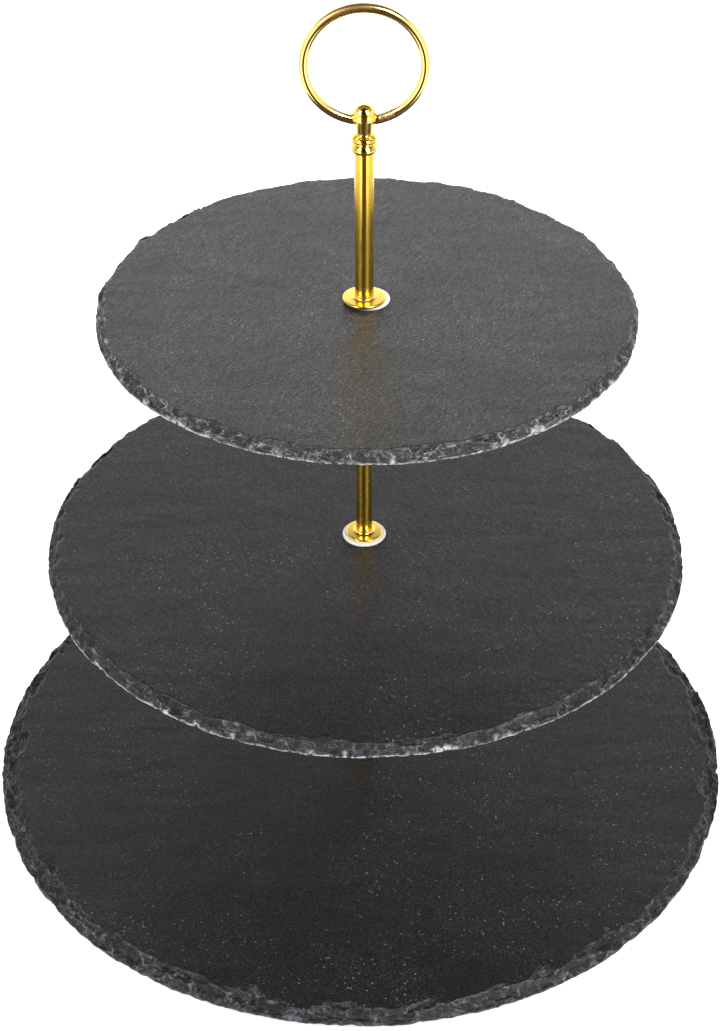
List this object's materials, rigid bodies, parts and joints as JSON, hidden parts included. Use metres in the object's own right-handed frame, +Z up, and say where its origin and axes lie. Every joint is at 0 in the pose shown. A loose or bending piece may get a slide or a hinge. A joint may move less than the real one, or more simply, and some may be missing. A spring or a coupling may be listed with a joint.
{
  "type": "tiered cake stand",
  "caption": "Tiered cake stand of round slate plates with knapped rims on a slim gold-coloured centre post, topped by a domed finial with a wire carry ring.",
  "frame": {"origin": "on the standing surface, in the middle of the stand's footprint, on the post's axis", "axes": "+Z up along the post, +X along the plane of the upright carry ring, -Y towards the viewer"},
  "size_m": [0.3, 0.3, 0.34],
  "materials": {
    "slate": "split natural slate, matt with fine mica specks",
    "gold_metal": "polished gold-coloured plating",
    "white_pad": "matt translucent silicone",
    "black_rubber": "matt"
  },
  "bodies": {
    "stand": {"lower_plate": "slate", "middle_plate": "slate", "upper_plate": "slate", "foot_1": "black_rubber", "foot_2": "black_rubber", "foot_3": "black_rubber", "foot_4": "black_rubber", "base_screw": "gold_metal", "base_screw_washer": "gold_metal", "lower_under_washer": "white_pad", "lower_top_washer": "white_pad", "lower_post_tube": "gold_metal", "lower_post_flange": "gold_metal", "lower_post_stud": "gold_metal", "middle_seat_washer": "gold_metal", "middle_under_washer": "white_pad", "middle_top_washer": "white_pad", "middle_post_tube": "gold_metal", "middle_post_flange": "gold_metal", "middle_post_stud": "gold_metal", "upper_seat_washer": "gold_metal", "upper_under_washer": "white_pad", "upper_top_washer": "white_pad", "upper_post_tube": "gold_metal", "upper_post_flange": "gold_metal", "bead_collar": "gold_metal", "finial": "gold_metal"},
    "ring": {"carry_ring": "gold_metal"}
  },
  "joints": [
    {"name": "ring_swing", "type": "hinge", "parent": "stand", "child": "ring", "pos_m": [0, 0, 0.2965], "axis": [1, 0, 0], "range_deg": [-170, 170]}
  ]
}
